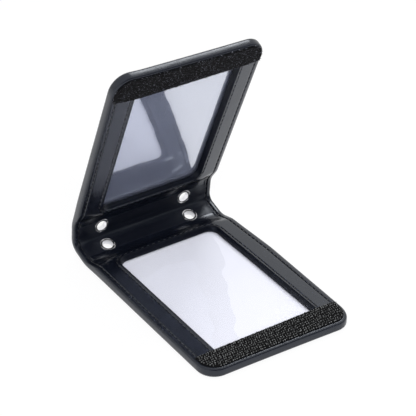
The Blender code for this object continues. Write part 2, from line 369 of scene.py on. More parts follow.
def makeLeather(name, look):
    material, tree, skin, coords = newSurface(name, IOR=look["ior"], Specular_Tint=look["sheen"])
    grain = node(tree, "Group", node_tree=grainGroup, Cells=look["cells"],
                 Unevenness=look["unevenness"], Blend=look["creases"])
    connect(tree, (coords, "Object", grain, "Vector"))
    coloured(tree, look, grain, "Mask", skin)
    mapped(tree, grain, "Mask", skin, "Roughness", (0.3, 0.7), look["rough"])
    pebbles = bumped(tree, look["bump"], relief["pebbles"], grain, "Height", skin)
    bumped(tree, look["slowBump"], relief["swells"], grain, "Mask", pebbles)
    return material


outerLook = {
    "dark": (14, 16, 23), "light": (22, 25, 34), "sheen": (0.86, 0.92, 1.0, 1.0),
    "ior": 1.48, "rough": (0.2, 0.29), "cells": 1700.0, "unevenness": 120.0, "creases": 0.4,
    "bump": 0.36, "slowBump": 0.12,
}
innerLook = {
    "dark": (9, 12, 20), "light": (15, 18, 28), "sheen": (0.85, 0.91, 1.0, 1.0),
    "ior": 1.58, "rough": (0.19, 0.27), "cells": 1500.0, "unevenness": 90.0, "creases": 0.3,
    "bump": 0.42, "slowBump": 0.1,
}
# the window walls' lining: a duller copy (lower gloss, rougher), and its darker colour is painted shade in
# the window's recess
shadedTurnedLook = dict(innerLook, dark=(8, 10, 17), light=(13, 16, 25), ior=1.3, rough=(0.3, 0.42),
                  cells=2800.0, bump=0.3)
outerLeather = makeLeather("outerLeather", outerLook)
innerLeather = makeLeather("innerLeather", innerLook)
shadedTurnedEdge = makeLeather("shadedTurnedEdge", shadedTurnedLook)
foldLeather = makeLeather("foldLeather", dict(innerLook, rough=(0.34, 0.46), unevenness=150.0, slowBump=0.3))


def makeThread():
    look = {"dark": (11, 12, 15), "light": (25, 27, 32), "fluff": 1500.0, "twist": 2600.0,
            "wander": 1.5, "bump": 0.6}
    material, tree, yarn, coords = newSurface("wovenThread", Roughness=0.4, Specular_IOR_Level=0.8)
    strands = node(tree, "TexWave", bands_direction="DIAGONAL", Scale=look["twist"],
                   Distortion=look["wander"])
    fluff = node(tree, "TexNoise", Scale=look["fluff"])
    connect(tree, (coords, "Object", strands, "Vector"), (coords, "Object", fluff, "Vector"))
    coloured(tree, look, fluff, "Fac", yarn)
    bumped(tree, look["bump"], relief["fibres"], strands, "Fac", yarn)
    return material


def makeSpeckled(name, look, **values):
    # strips, plating, paper, board and foam: one noise in the colour and in the surface
    material, tree, body, coords = newSurface(name, **values)
    specks = node(tree, "TexNoise", Scale=look["specks"], Detail=look["detail"])
    connect(tree, (coords, "Object", specks, "Vector"))
    coloured(tree, look, specks, "Fac", body)
    if "rough" in look:
        mapped(tree, specks, "Fac", body, "Roughness", end=look["rough"])
    bumped(tree, look["bump"], look["depth"], specks, "Fac", body)
    return material


def makeFilm(name, look):
    # a clear sheet: seen through, with a gloss that grows at a slant
    material = newMaterial(name)
    tree = material.node_tree
    gloss = node(tree, "BsdfPrincipled", Base_Color=look["gloss"], Metallic=1.0)
    coords = node(tree, "TexCoord")
    ripple = node(tree, "TexNoise", Scale=look["ripples"], Detail=2.0)
    frost = node(tree, "TexNoise", Scale=look["frost"], Detail=3.0)
    clear = node(tree, "BsdfTransparent", Color=look["tint"])
    slant = node(tree, "LayerWeight", Blend=0.5)
    sheet = node(tree, "MixShader")
    rays = node(tree, "LightPath")
    letThrough = node(tree, "BsdfTransparent")  # the lamps reach what lies under the sheet
    final = node(tree, "MixShader")
    mapped(tree, frost, "Fac", gloss, "Roughness", look["frosted"], look["rough"])
    mapped(tree, slant, "Facing", sheet, 0, end=look["mirror"])
    bumped(tree, look["bump"], relief["ripples"], ripple, "Fac", gloss)
    connect(tree, (coords, "Object", ripple, "Vector"), (coords, "Object", frost, "Vector"),
            (clear, "BSDF", sheet, 1), (gloss, "BSDF", sheet, 2), (rays, "Is Shadow Ray", final, 0),
            (sheet, "Shader", final, 1), (letThrough, "BSDF", final, 2),
            (final, "Shader", node(tree, "OutputMaterial"), "Surface"))
    return material


tapeLook = {"detail": 4.0, "depth": relief["pile"], "bump": 0.5}
plainLook = {"detail": 5.0, "depth": relief["fibres"]}
threadYarn = makeThread()
groundWeave = makeSpeckled("groundWeave", dict(
    tapeLook, dark=(5, 5, 6), light=(14, 14, 16), specks=900.0, spread=(0.42, 0.68)),
    Roughness=0.8, Specular_IOR_Level=0.12)
hookNylon = makeSpeckled("hookNylon", dict(
    tapeLook, dark=(44, 44, 44), light=(148, 150, 151), specks=1300.0, spread=(0.36, 0.64)),
    Roughness=0.4, Specular_IOR_Level=0.5)
loopNylon = makeSpeckled("loopNylon", dict(
    tapeLook, dark=(3, 3, 5), light=(128, 130, 141), specks=1200.0, spread=(0.45, 0.66)),
    Roughness=0.6, Specular_IOR_Level=0.3)
nickel = makeSpeckled("nickelPlate", dict(
    plainLook, dark=(214, 214, 217), light=(246, 246, 248), specks=900.0, rough=(0.06, 0.16),
    bump=0.15), Metallic=1.0)
lowerFilmClear = makeFilm("lowerFilm", {
    "gloss": fromSrgb(248, 248, 252), "tint": (0.985, 0.985, 0.99, 1.0), "rough": (0.02, 0.05),
    "ripples": 28.0, "bump": 0.1, "mirror": (0.01, 0.085), "frost": 2500.0, "frosted": (0.5, 0.56)})
upperFilmClear = makeFilm("upperFilm", {
    "gloss": fromSrgb(244, 246, 250), "tint": (0.94, 0.95, 0.98, 1.0), "rough": (0.02, 0.13),
    "ripples": 24.0, "bump": 0.12, "mirror": (0.04, 0.69), "frost": 2600.0, "frosted": (0.53, 0.59)})
paper = makeSpeckled("insertPaper", dict(
    plainLook, dark=(236, 238, 248), light=(240, 241, 250), specks=1200.0, bump=0.03),
    Roughness=0.6, IOR=1.4)
boardCard = makeSpeckled("backingBoard", dict(
    plainLook, dark=(132, 137, 154), light=(192, 196, 210), specks=2300.0, bump=0.2),
    Roughness=0.65, IOR=1.4)
foam = makeSpeckled("padFoam", dict(
    plainLook, dark=(40, 41, 44), light=(58, 59, 62), specks=1800.0, bump=0.8),
    Roughness=0.9, IOR=1.4)
print("badge holder: materials made")

# the outer leather, turned up round the edge, and the lining sewn into it
outerSkin = {
    "width": 0.076, "corner": 0.0086, "cornerSteps": 14, "thickness": 0.0009,
    "sideLow": 0.0016, "sideHigh": 0.0040, "leafTop": 0.0050, "above": 0.006,
    "bottomRings": [(122, 612), (347, 519), (519, 347), (612, 122), (800, 0), (6000, 0)],
    "beadRings": [(60, 340), (110, 240), (140, 180), (160, 50), (340, 100), (160, 50), (340, 40), (900, 0),
                  (160, -120), (140, -220), (140, -220)],
    "ramp": 0.0074, "edgeRamp": 0.0095, "rampInto": 0.0008, "edgeFrom": 0.0290, "edgeRun": 0.0050,
    "spineTop": 0.0023, "spineSide": 0.0006, "edgeRise": 0.0007, "riseFrom": 0.0335, "riseTo": 0.0365,
    "spineInset": 0.0001, "insetFrom": 0.026, "insetRun": 0.008, "notch": 0.0080, "notchInto": 0.0015,
    "crown": 0.00045, "crownReach": 0.0092, "crownPower": 1.2,
    "pinch": 0.0005, "pinchReach": 0.0014, "pinchFrom": 0.0300, "pinchRun": 0.0050,
}
innerSkin = {
    "inset": 0.0027, "low": 0.00442, "thickness": 0.00085,
    "edgeRings": [(80, 280), (140, 180), (220, 90), (400, 30)],
    "windowWidth": 0.0514, "windowLow": 0.0083, "windowHigh": 0.0913, "windowFoldRadius": 0.0042,
    "windowEndRadius": 0.0015, "windowSurround": 0.0033, "windowSteps": 10,
    "lipRings": [(300, 0), (200, -180), (300, -40), (300, 200), (300, 220), (260, 120), (240, 30), (240, -80),
                 (260, -240), (340, -520), (340, -700), (180, -660), (40, -450)],
    "wallReach": 0.0015, "plainBelow": 0.0245,
}
# soft creases where the spine folds: each has its height, and the long one its place and reach
creases = {"wave": 0.00010, "fineShare": 0.5, "ridge": 0.00014, "ridgeLean": 0.02,
           "ridgePlace": (-0.009, -0.0006), "ridgeReach": (0.011, 0.0007), "armShare": 0.95,
           "eyeletFree": 0.0036, "eyeletRun": 0.003}


def ripple(x, run, across, along, seed):
    return noise.noise(Vector((x * across, run * along, seed)))


def sunk(x, run):
    # how far the face lies below the leaf's full height: it runs down to the spine, whose turned
    # edges stay thicker, and its rim hangs a little
    skin = outerSkin
    edge = smooth((abs(x) - skin["edgeFrom"]) / skin["edgeRun"])
    rise = smooth((abs(x) - skin["riseFrom"]) / (skin["riseTo"] - skin["riseFrom"]))
    ramp = skin["ramp"] + (skin["edgeRamp"] - skin["ramp"]) * edge
    leaf = smooth((abs(run) - spineHalf + skin["rampInto"]) / ramp)
    drop = skin["leafTop"] - skin["spineTop"] - skin["edgeRise"] * rise
    side, front = (max(1 - away / skin["crownReach"], 0.0) ** skin["crownPower"]
                   for away in (skin["width"] / 2 - abs(x), blankHalf - abs(run)))
    rim = min((side ** 4 + front ** 4) ** 0.25, 1.0)
    return drop * (1 - leaf) + skin["crown"] * rim * leaf


def thinDown(point, outer):
    # the leaf's heights and width shrink to the spine's
    x, run, height = point
    skin = outerSkin
    full = skin["leafTop"] - skin["spineTop"]
    low = sunk(x, run)
    if outer:
        marks = [(0.0, 0.0), (skin["sideLow"], skin["spineSide"]),
                 (skin["sideHigh"], skin["sideHigh"] - full), (skin["above"], skin["above"] - full)]
        thin = height
        for (start, startTo), (end, endTo) in zip(marks, marks[1:]):
            if start <= height <= end:
                thin = startTo + (endTo - startTo) * (height - start) / (end - start)
        height += (thin - height) * low / full
    else:
        flat = 1 - smooth((abs(x) - skin["pinchFrom"]) / skin["pinchRun"])
        height -= low + skin["pinch"] * flat * math.exp(-(run / skin["pinchReach"]) ** 2)
    notch = 1 - smooth((abs(run) - spineHalf + skin["notchInto"]) / skin["notch"])
    side = smooth((abs(x) - skin["insetFrom"]) / skin["insetRun"])
    x -= math.copysign(skin["spineInset"] * notch * side, x)
    return Vector((x, run, height))


def creaseLift(x, run):
    # none round the eyelets
    quiet = 1.0
    for side, half in eyeletSpots:
        away = math.hypot(x - side * foldPath["eyeletSide"], run - half * eyeletLine)
        quiet *= smooth((away - creases["eyeletFree"]) / creases["eyeletRun"])
    nearFold = smooth(1 - abs(run) / (armEnd * creases["armShare"]))
    wave = ripple(x, run, 90, 160, 3.1) + creases["fineShare"] * ripple(x, run, 210, 300, 7.7)
    middle, line = creases["ridgePlace"]
    reach, width = creases["ridgeReach"]
    ridge = (math.exp(-((run - line + creases["ridgeLean"] * x) / width) ** 2)
             * math.exp(-((x - middle) / reach) ** 2))
    return quiet * nearFold * (creases["wave"] * wave + creases["ridge"] * ridge)


def laidOver(piece, outer):
    # from the flat onto the folded holder, with its ramps and creases
    for vertex in piece.data.vertices:
        spot = thinDown(vertex.co, outer)
        spot.z += creaseLift(spot.x, spot.y)
        vertex.co = foldPoint(spot)


def leatherBlank():
    blank = newPiece("outerBlank")
    edit(blank)
    skin = outerSkin
    outline = (skin["corner"], skin["corner"], skin["cornerSteps"])
    addOutline(skin["width"], -blankHalf, blankHalf, skin["sideHigh"], *outline)
    stepIn(skin["beadRings"])
    bpy.ops.mesh.delete(type="FACE")
    addOutline(skin["width"], -blankHalf, blankHalf, skin["sideLow"], *outline)
    bpy.ops.mesh.flip_normals()
    stepIn(skin["bottomRings"])
    pick("EDGE", lambda edge: (atHeight(edge, skin["sideLow"]) or atHeight(edge, skin["sideHigh"]))
         and len(edge.link_faces) == 1)
    bpy.ops.mesh.bridge_edge_loops()
    leave()
    return blank


def liningBlank():
    blank = newPiece("innerBlank")
    edit(blank)
    inset = innerSkin["inset"]
    corner = outerSkin["corner"] - inset
    addOutline(outerSkin["width"] - 2 * inset, inset - blankHalf, blankHalf - inset, innerSkin["low"], corner,
               corner, outerSkin["cornerSteps"])
    stepIn(innerSkin["edgeRings"])
    leave()
    return blank


def windowOutline(gap):
    # the lower window's width, ends and corners, grown by a gap
    skin = innerSkin
    return {"width": skin["windowWidth"] + 2 * gap, "low": -spineHalf - skin["windowHigh"] - gap,
            "high": -spineHalf - skin["windowLow"] + gap, "lowCorner": skin["windowEndRadius"] + gap,
            "highCorner": skin["windowFoldRadius"] + gap}


def openWindow(piece):
    # the window's groove, bead and wall, joined to the frame round it
    top = outerSkin["leafTop"]
    edit(piece)
    pick("FACE", lambda face: len(face.verts) > 20 and atHeight(face, top))
    bpy.ops.mesh.delete(type="ONLY_FACE")
    addOutline(height=top, segments=innerSkin["windowSteps"], **windowOutline(innerSkin["windowSurround"]))
    stepIn(innerSkin["lipRings"])
    bpy.ops.mesh.delete(type="FACE")
    pick("EDGE", lambda edge: atHeight(edge, top) and len(edge.link_faces) < 2)
    bpy.ops.mesh.fill(use_beauty=True)
    leave()


def cutPiece(source, name, low, high):
    piece = copyPiece(source, name)
    edit(piece)
    cutAcross(low, clearLow=True)
    cutAcross(high, clearHigh=True)
    leave()
    return piece


def onWall(place):
    # the turned-in edge that stands round the window, where the lining gets a darker colour as painted shade
    reach = innerSkin["wallReach"]
    return (abs(place.x) < innerSkin["windowWidth"] / 2 + reach
            and -innerSkin["windowHigh"] - reach < place.y + spineHalf < reach - innerSkin["windowLow"])


# where the leather is cut across so that it bends well, from and to, and into how many strips
foldCuts = [(-cutLine, cutLine, 40), (-0.0021, 0.0021, 21)]
leafCuts = [(armEnd - 0.00002, spineHalf - flatRun + 0.00002, 9),
            (spineHalf - 0.0008, spineHalf + 0.0085, 18), (spineHalf + 0.0100, spineHalf + 0.0380, 12),
            (blankHalf - 0.0096, blankHalf - 0.0012, 7)]
columnCuts = (-0.036, 0.036, 36)


def finishLeather(piece, outer, *materials):
    edit(piece)
    low = min(vertex.co.y for vertex in piece.data.vertices)
    high = max(vertex.co.y for vertex in piece.data.vertices)
    places = [place for cut in foldCuts for place in steps(*cut)]
    for side in (-1, 1):
        for start, stop, count in leafCuts:
            places += steps(side * start, side * stop, count)
    cutAcross([place for place in places if low + 1e-5 < place < high - 1e-5])
    cutAcross(steps(*columnCuts), along="x")
    takeAll()
    bpy.ops.mesh.remove_doubles(threshold=1e-6)
    faceOut()
    leave()
    # an open skin's outside is known by its largest face: down on the cover, up on the lining
    widest = max(piece.data.polygons, key=lambda face: face.area)
    if (widest.normal.z > 0) == outer:
        piece.data.flip_normals()
    clad(piece, *materials)
    # a second material goes on the window wall: the duller lining whose darker colour is painted shade
    if len(materials) > 1:
        for face in piece.data.polygons:
            face.material_index = 1 if onWall(face.center) else 0
    laidOver(piece, outer)
    thickness = (outerSkin if outer else innerSkin)["thickness"]
    applyModifier(piece, "SOLIDIFY", thickness=thickness, offset=-1.0, use_quality_normals=True)


def mirrorToUpper(piece, name):
    # the upper leaf is the lower one turned over about the fold's bisector
    turned = copyPiece(piece, name)
    y, z, angle = pathFrame(0.0)
    for vertex in turned.data.vertices:
        away = Vector((vertex.co.y - y, vertex.co.z - z))
        along = Vector((-math.sin(angle), math.cos(angle)))
        across = Vector((math.cos(angle), math.sin(angle)))
        away = along * away.dot(along) - across * away.dot(across)
        vertex.co = Vector((-vertex.co.x, y + away.x, z + away.y))
    return turned


def eyeletMatrix(side, half):
    y, z, angle = pathFrame(half * eyeletLine)
    return Matrix.Translation((side * foldPath["eyeletSide"], y, z)) @ Matrix.Rotation(angle, 4, "X")


def punchHoles(piece):
    for side, half in eyeletSpots:
        deselect()
        bpy.ops.mesh.primitive_cylinder_add(vertices=40, radius=foldPath["eyeletHole"], depth=0.012)
        punch = bpy.context.object
        punch.data.transform(eyeletMatrix(side, half))
        cutOut(piece, punch)


outerFlat = leatherBlank()
innerFlat = liningBlank()
print("badge holder: leather blanks cut")

outerLower = cutPiece(outerFlat, "outerLower", [], [-cutLine])
outerFold = cutPiece(outerFlat, "outerFold", [-cutLine], [cutLine])
innerLower = cutPiece(innerFlat, "innerLower", [], [-cutLine])
innerFold = cutPiece(innerFlat, "innerFold", [-cutLine], [cutLine])
openWindow(innerLower)
discard(outerFlat, innerFlat)
finishLeather(outerLower, True, outerLeather)
finishLeather(outerFold, True, outerLeather)
# the lower window's walls take the duller, darker copy: painted shade
finishLeather(innerLower, False, innerLeather, shadedTurnedEdge)
finishLeather(innerFold, False, foldLeather)
punchHoles(outerFold)
punchHoles(innerFold)
outerUpper = mirrorToUpper(outerLower, "outerUpper")
innerUpper = mirrorToUpper(innerLower, "innerUpper")
# below this height the upper window's walls keep the plain lining, without the painted shade
for face in innerUpper.data.polygons:
    if face.center.z < innerSkin["plainBelow"]:
        face.material_index = 0
smoothShade(40, outerLower, outerFold, outerUpper, innerLower, innerFold, innerUpper)
print("badge holder: leather folded and punched")

padLook = {"halfWidth": 0.036, "foldGap": 0.0052, "frontGap": 0.0020, "corner": 0.0076, "low": 0.00255,
           "high": 0.00395, "thinnest": 0.0002, "window": 0.0009, "columns": (-0.0352, 0.0352, 8),
           "rows": (-0.0985 - spineHalf, -0.0060 - spineHalf, 24)}


def makePad(name, side):
    # the foam frame under the lining, thinner where the leaf is
    piece, hole = newPiece(name), newPiece("padHole")
    middle = (padLook["low"] + padLook["high"]) / 2
    edit(piece)
    addOutline(2 * padLook["halfWidth"], padLook["frontGap"] - blankHalf, -spineHalf - padLook["foldGap"],
               padLook["low"], padLook["corner"], 0.0, 6)
    raiseBy(padLook["high"] - padLook["low"])
    cutAcross(steps(*padLook["columns"]), along="x")
    cutAcross(steps(*padLook["rows"]))
    edit(hole)
    addOutline(height=padLook["low"] - 0.001, segments=6, **windowOutline(padLook["window"]))
    raiseBy(0.005)
    for part in (piece, hole):
        edit(part)
        faceOut()
        leave()
    cutOut(piece, hole)
    for vertex in piece.data.vertices:
        x, run, height = vertex.co
        top = padLook["high"] - sunk(x, run)
        height = top if height > middle else min(padLook["low"], top - padLook["thinnest"])
        vertex.co = foldPoint((x, run, height))
    if side > 0:
        turned = mirrorToUpper(piece, "turned")
        discard(piece)
        turned.name = name
        piece = turned
    clad(piece, foam)
    smoothShade(30, piece)
    return piece


padLower = makePad("foamLower", -1)
padUpper = makePad("foamUpper", 1)

# one seam round the whole edge and one round each window
stitches = {"pitch": 0.0030, "length": 0.0020, "radius": 0.00026, "dive": 0.00022, "slant": 9.0, "stray": 2.0,
            "unlevel": 0.00002, "edgeInset": 0.0026, "edgeHeight": 0.00474, "windowOffset": 0.0026,
            "windowHeight": 0.00484}


def stitchTemplate():
    # a short rope laid along x whose ends dive into the leather
    deselect()
    bpy.ops.mesh.primitive_uv_sphere_add(segments=6, ring_count=6, radius=1)
    stitch = bpy.context.object
    edit(stitch)
    takeAll()
    bpy.ops.transform.rotate(value=math.pi / 2, orient_axis="Y", center_override=(0, 0, 0))
    leave()
    for vertex in stitch.data.vertices:
        along = vertex.co.x
        fat = stitches["radius"] * (1.0 if abs(along) < 0.9 else 0.7)
        vertex.co.x = math.copysign(abs(along) ** 0.8, along) * stitches["length"] / 2
        vertex.co.y *= fat
        vertex.co.z = vertex.co.z * fat - stitches["dive"] * abs(along) ** 3
    return stitch


def roundedPath(width, low, high, lowCorner, highCorner):
    # points round a rounded rectangle, 33 to a corner
    corners = [(1, high, highCorner), (-1, high, highCorner), (-1, low, lowCorner), (1, low, lowCorner)]
    points = []
    for index, (side, place, radius) in enumerate(corners):
        up = 1 if place == high else -1
        centre = (side * (width / 2 - radius), place - up * radius)
        for step in range(33):
            angle = (index + step / 32) * math.pi / 2
            points.append((centre[0] + radius * math.cos(angle), centre[1] + radius * math.sin(angle)))
    return points + points[:1]


def alongPath(points):
    # evenly spaced places and directions along a line of points
    lengths = [math.dist(a, b) for a, b in zip(points, points[1:])]
    total = sum(lengths)
    count = round(total / stitches["pitch"])
    found = []
    for index in range(count):
        wanted = (index + 0.5) * total / count
        run = 0.0
        for (a, b), length in zip(zip(points, points[1:]), lengths):
            if run + length >= wanted and length > 0:
                share = (wanted - run) / length
                place = (a[0] + (b[0] - a[0]) * share, a[1] + (b[1] - a[1]) * share)
                found.append((place, math.atan2(b[1] - a[1], b[0] - a[0])))
                break
            run += length
    return found


def sewn(name, places, height):
    # each stitch is laid on the flat leather, a little uneven, and folded with it
    placings = []
    for (x, run), angle in places:
        lean = math.radians(stitches["slant"] + spread.uniform(-stitches["stray"], stitches["stray"]))
        lift = spread.uniform(-stitches["unlevel"], stitches["unlevel"])
        placings.append(Matrix.Translation((x, run, height + lift)) @ Matrix.Rotation(angle + lean, 4, "Z"))
    piece = copiesOf(template, name, placings)
    laidOver(piece, False)
    clad(piece, threadYarn)
    smoothShade(60, piece)
    return piece


def between(low, high):
    return [place for place in edgePlaces if low < place[0][1] <= high]


spread = random.Random(11)
template = stitchTemplate()
inset = stitches["edgeInset"]
corner = outerSkin["corner"] - inset
edgePlaces = alongPath(roundedPath(outerSkin["width"] - 2 * inset, inset - blankHalf, blankHalf - inset,
                                   corner, corner))
windowPlaces = alongPath(roundedPath(**windowOutline(stitches["windowOffset"])))
mirroredPlaces = [((-x, -run), angle) for (x, run), angle in windowPlaces]
edgeStitchesLower = sewn("edgeStitchesLower", between(-1, -cutLine), stitches["edgeHeight"])
edgeStitchesFold = sewn("edgeStitchesFold", between(-cutLine, cutLine), stitches["edgeHeight"])
edgeStitchesUpper = sewn("edgeStitchesUpper", between(cutLine, 1), stitches["edgeHeight"])
windowStitchesLower = sewn("windowStitchesLower", windowPlaces, stitches["windowHeight"])
windowStitchesUpper = sewn("windowStitchesUpper", mirroredPlaces, stitches["windowHeight"])
discard(template)
print("badge holder: sewn with", len(edgePlaces) + 2 * len(windowPlaces), "stitches")

# hooks along the lower leaf's front, loops along the upper leaf's end
hookStripLook = {"front": 0.0014, "width": 0.0102, "low": 0.00510, "ground": 0.00045, "top": 0.00640,
                 "half": -1, "pitch": 0.00116, "wire": 0.00019, "sides": 5, "bend": 0.00019, "turns": 5,
                 "degrees": 215, "stray": 0.00013, "twist": 0.45, "lean": 0.12, "least": 0.82}
loopStripLook = {"front": 0.0008, "width": 0.0107, "low": 0.00510, "ground": 0.0005, "half": 1,
                 "count": 3600, "wire": 0.00008, "sides": 4, "bend": 0.0003, "turns": 6, "degrees": 200,
                 "lean": 0.5, "sizes": (0.7, 1.3), "stretch": (0.9, 2.0)}
stripMake = {"margin": 0.0001, "rag": 0.00022, "bevel": 120, "rim": 300, "columns": (-0.036, 0.036, 60),
             "rows": (0.0012, 0.0010, 7), "reach": 0.037, "beyond": 0.0003}


def stripGround(name, look):
    # woven ground with rounded outer corners and soft edges
    piece = newPiece(name)
    edit(piece)
    far = blankHalf - look["front"]
    back = look["width"] - far
    addOutline(outerSkin["width"] - 2 * look["front"], -far, back, look["low"],
               outerSkin["corner"] - look["front"], 0.0, 10)
    raiseBy(look["ground"] * 0.7)
    stepIn([(stripMake["bevel"], look["ground"] * 0.3 * 1e6), (stripMake["rim"], 0)])
    faceOut()
    front, rear, count = stripMake["rows"]
    cutAcross(steps(*stripMake["columns"]), along="x")
    cutAcross(steps(front - far, back - rear, count))
    leave()
    for vertex in piece.data.vertices:
        x, run, height = vertex.co
        if run > back - 0.0005:
            run += stripMake["rag"] * ripple(x, run, 700, 700, 2.0)
        vertex.co = foldPoint((x, run, height - sunk(x, run)), look["half"])
    return piece


def insideStrip(x, run, look):
    # whether a place is on the strip, its outer corners rounded
    margin = stripMake["margin"]
    far = blankHalf - look["front"]
    halfWidth = outerSkin["width"] / 2 - look["front"]
    radius = outerSkin["corner"] - look["front"]
    if abs(x) > halfWidth - margin or run < margin - far or run > look["width"] - far - margin * 0.3:
        return False
    dx, dy = abs(x) - (halfWidth - radius), -far + radius - run
    return not (dx > 0 and dy > 0 and math.hypot(dx, dy) > radius - margin)


def bentWire(look):
    # a stem that bends over into a hook, or without a stem a small arch of yarn
    deselect()
    bpy.ops.mesh.primitive_circle_add(vertices=look["sides"], radius=look["wire"])
    wire = bpy.context.object
    edit(wire)
    takeAll()
    stem = 0.0
    if "top" in look:
        stem = look["top"] - look["low"] - look["ground"] - look["bend"] - look["wire"]
        raiseBy(stem)
    bpy.ops.mesh.spin(steps=look["turns"], angle=math.radians(look["degrees"]),
                      center=(look["bend"], 0, stem), axis=(0, 1, 0))
    leave()
    return wire


def foldedMatrix(x, run, look, turn):
    # a placing that carries a template from the flat strip onto its leaf
    height = look["low"] + look["ground"] * 0.9 - sunk(x, run)
    place, angle = foldFrame(x, run, height, look["half"])
    return Matrix.Translation(place) @ Matrix.Rotation(angle, 4, "X") @ turn


def plantHooks(look):
    spread = random.Random(5)
    far = blankHalf - look["front"]
    placings = []
    rows = int(look["width"] / look["pitch"]) + 1
    columns = int(outerSkin["width"] / look["pitch"]) + 1
    for row in range(rows):
        for column in range(-columns // 2, columns // 2 + 1):
            x = (column + (row % 3) / 3) * look["pitch"] + spread.gauss(0, look["stray"])
            run = -far + (row + 0.3) * look["pitch"] + spread.gauss(0, look["stray"])
            if insideStrip(x, run, look):
                side = 0 if row % 2 else math.pi
                turn = (Matrix.Rotation(side + math.radians(35) + spread.gauss(0, look["twist"]), 4, "Z")
                        @ Matrix.Rotation(spread.gauss(0, look["lean"]), 4, "X")
                        @ Matrix.Diagonal((1, 1, spread.uniform(look["least"], 1.0), 1)))
                placings.append(foldedMatrix(x, run, look, turn))
    return placings


def plantLoops(look):
    spread = random.Random(8)
    far = blankHalf - look["front"]
    placings = []
    while len(placings) < look["count"]:
        x = spread.uniform(-stripMake["reach"], stripMake["reach"])
        run = -far + spread.uniform(0, look["width"] + stripMake["beyond"])
        if insideStrip(x, run, look):
            size = spread.uniform(*look["sizes"])
            turn = (Matrix.Rotation(spread.uniform(0, 2 * math.pi), 4, "Z")
                    @ Matrix.Rotation(spread.gauss(0, look["lean"]), 4, "X")
                    @ Matrix.Diagonal((size, size, size * spread.uniform(*look["stretch"]), 1)))
            placings.append(foldedMatrix(x, run, look, turn))
    return placings


def makeStrip(name, look, plant, nylon):
    wire = bentWire(look)
    pile = copiesOf(wire, "pile", plant(look))
    ground = stripGround(name, look)
    clad(ground, groundWeave)
    clad(pile, nylon)
    workOn(ground)
    pile.select_set(True)
    bpy.ops.object.join()
    discard(wire)
    smoothShade(50, ground)
    return ground


hookStrip = makeStrip("hookTape", hookStripLook, plantHooks, hookNylon)
loopStrip = makeStrip("loopTape", loopStripLook, plantLoops, loopNylon)
print("badge holder: closing strips planted")

# millimetres out and up, round each ring's own middle
eyeletLook = {
    "steps": 64,
    "profile": [(2.56, -1.1), (2.56, 1.3), (2.58, 1.44), (2.64, 1.51), (2.76, 1.54), (3.06, 1.53),
                (3.16, 1.56), (3.28, 1.65), (3.42, 1.69), (3.56, 1.65), (3.66, 1.56), (3.68, 1.47),
                (3.65, 1.39), (3.2, 1.37), (3.0, 1.33), (3.0, -1.0), (3.06, -1.12), (3.26, -1.2),
                (3.3, -1.27), (3.16, -1.33), (2.8, -1.31), (2.62, -1.24)],
    "washer": [(3.04, -1.16), (3.04, -1.0), (3.1, -0.97), (3.82, -0.97), (3.9, -1.02), (3.88, -1.12),
               (3.8, -1.17)],
}


def turnedRing(name, profile):
    # a ring of rising and widening steps, closed on itself
    deselect()
    first = profile[0]
    bpy.ops.mesh.primitive_circle_add(vertices=eyeletLook["steps"], radius=first[0] / 1000)
    ring = bpy.context.object
    ring.name = name
    edit(ring)
    takeAll()
    bpy.ops.transform.translate(value=(0, 0, first[1] / 1000))
    for before, after in zip(profile, profile[1:] + [first]):
        raiseBy((after[1] - before[1]) / 1000)
        ratio = after[0] / before[0]
        bpy.ops.transform.resize(value=(ratio, ratio, 1), center_override=(0, 0, after[1] / 1000))
    takeAll()
    bpy.ops.mesh.remove_doubles(threshold=2e-6)
    faceOut()
    leave()
    clad(ring, nickel)
    return ring


eyeletModel = turnedRing("eyeletModel", eyeletLook["profile"])
washerModel = turnedRing("washerModel", eyeletLook["washer"])
for half, body in ((-1, "lower"), (1, "upper")):
    for side, word in ((-1, "left"), (1, "right")):
        for model, what in ((eyeletModel, "eyelet"), (washerModel, "washer")):
            ring = copyPiece(model, "%sRing_%s_%s" % (what, body, word))
            ring.data.transform(eyeletMatrix(side, half))
            smoothShade(50, ring)
            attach(ring, "spine_" + body)
            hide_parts("%s_%s_%s" % (what, body, word))
discard(eyeletModel, washerModel)
print("badge holder: eyelets set")

# each film's waves: their height, the long ones' across, along and seed, then the short ones' share
# and the same three
filmLook = {"halfWidth": 0.0284, "low": 0.0056, "high": 0.0940, "over": 0.00236, "cuts": 46,
            "thickness": 0.00015, "sag": 0.00003,
            "lowerWaves": (0.00025, (45, 38, 1.3), 0.45, (110, 100, 5.0)),
            "upperWaves": (0.00010, (30, 26, 9.3), 0.25, (120, 110, 2.0))}


def makeFilmSheet(name, half, material, waves):
    piece = newPiece(name)
    edit(piece)
    centre = (0, -spineHalf - (filmLook["low"] + filmLook["high"]) / 2, filmLook["over"])
    bpy.ops.mesh.primitive_plane_add(size=1, location=centre)
    bpy.ops.transform.resize(value=(2 * filmLook["halfWidth"], filmLook["high"] - filmLook["low"], 1),
                             center_override=centre)
    bpy.ops.mesh.subdivide(number_cuts=filmLook["cuts"])
    leave()
    size, long, share, short = waves
    for vertex in piece.data.vertices:
        x, run, height = vertex.co
        wave = ripple(x, -run - spineHalf, *long) + share * ripple(x, -run - spineHalf, *short)
        vertex.co = foldPoint((x, run, height + (size * wave - filmLook["sag"])), half)
    applyModifier(piece, "SOLIDIFY", thickness=filmLook["thickness"], offset=-1.0)
    clad(piece, material)
    smoothShade(30, piece)
    return piece


lowerFilm = makeFilmSheet("clearFilmLower", -1, lowerFilmClear, filmLook["lowerWaves"])
upperFilm = makeFilmSheet("clearFilmUpper", 1, upperFilmClear, filmLook["upperWaves"])
print("badge holder: films laid in")

# how far soft leather leaves the plain shape
unevenness = {"bow": 0.0014, "bowPower": 5, "curl": 0.0009, "curlFrom": 0.0240, "curlPower": 1.3,
              "curlLow": 0.012, "curlRun": 0.022}


